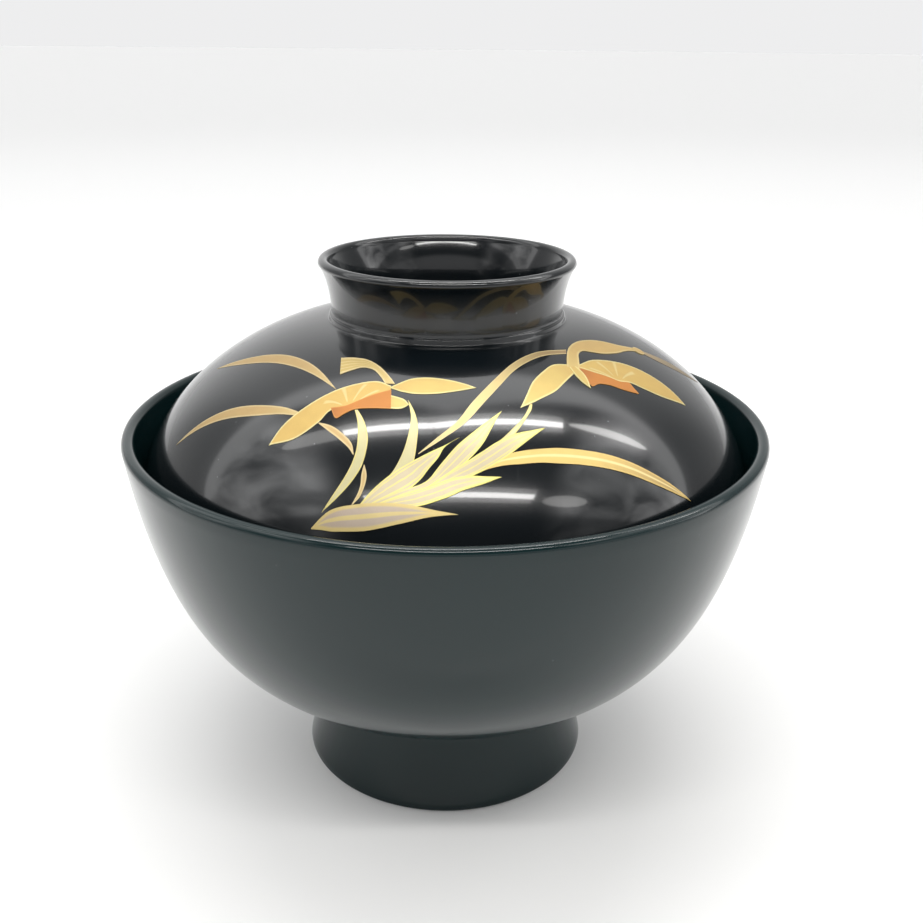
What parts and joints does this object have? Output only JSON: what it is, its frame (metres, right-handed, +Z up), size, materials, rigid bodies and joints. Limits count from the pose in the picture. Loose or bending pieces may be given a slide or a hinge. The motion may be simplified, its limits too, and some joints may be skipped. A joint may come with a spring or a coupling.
{
  "type": "lidded rice bowl",
  "caption": "Footed round rice bowl in black lacquer finish with a domed lift-off lid that has a flared grip ring.",
  "frame": {"origin": "centre of the circle that the foot ring stands on", "axes": "+Z up along the bowl's axis of revolution; -Y towards the side of the lid where the painted spray is"},
  "size_m": [0.125, 0.125, 0.1053],
  "materials": {
    "black_lacquer_bowl": "satin-gloss black lacquer",
    "black_lacquer_lid": "polished black lacquer",
    "gold_paint": "thin gold paint film, satin",
    "silver_paint": "thin silver-grey paint film, satin",
    "orange_paint": "thin orange paint film, satin"
  },
  "bodies": {
    "bowl": {"bowl": "black_lacquer_bowl"},
    "lid": {"lid": "black_lacquer_lid"}
  },
  "joints": [
    {"name": "lid_lift", "type": "slide", "parent": "bowl", "child": "lid", "axis": [0, 0, 1], "range_m": [0, 0.09]}
  ]
}
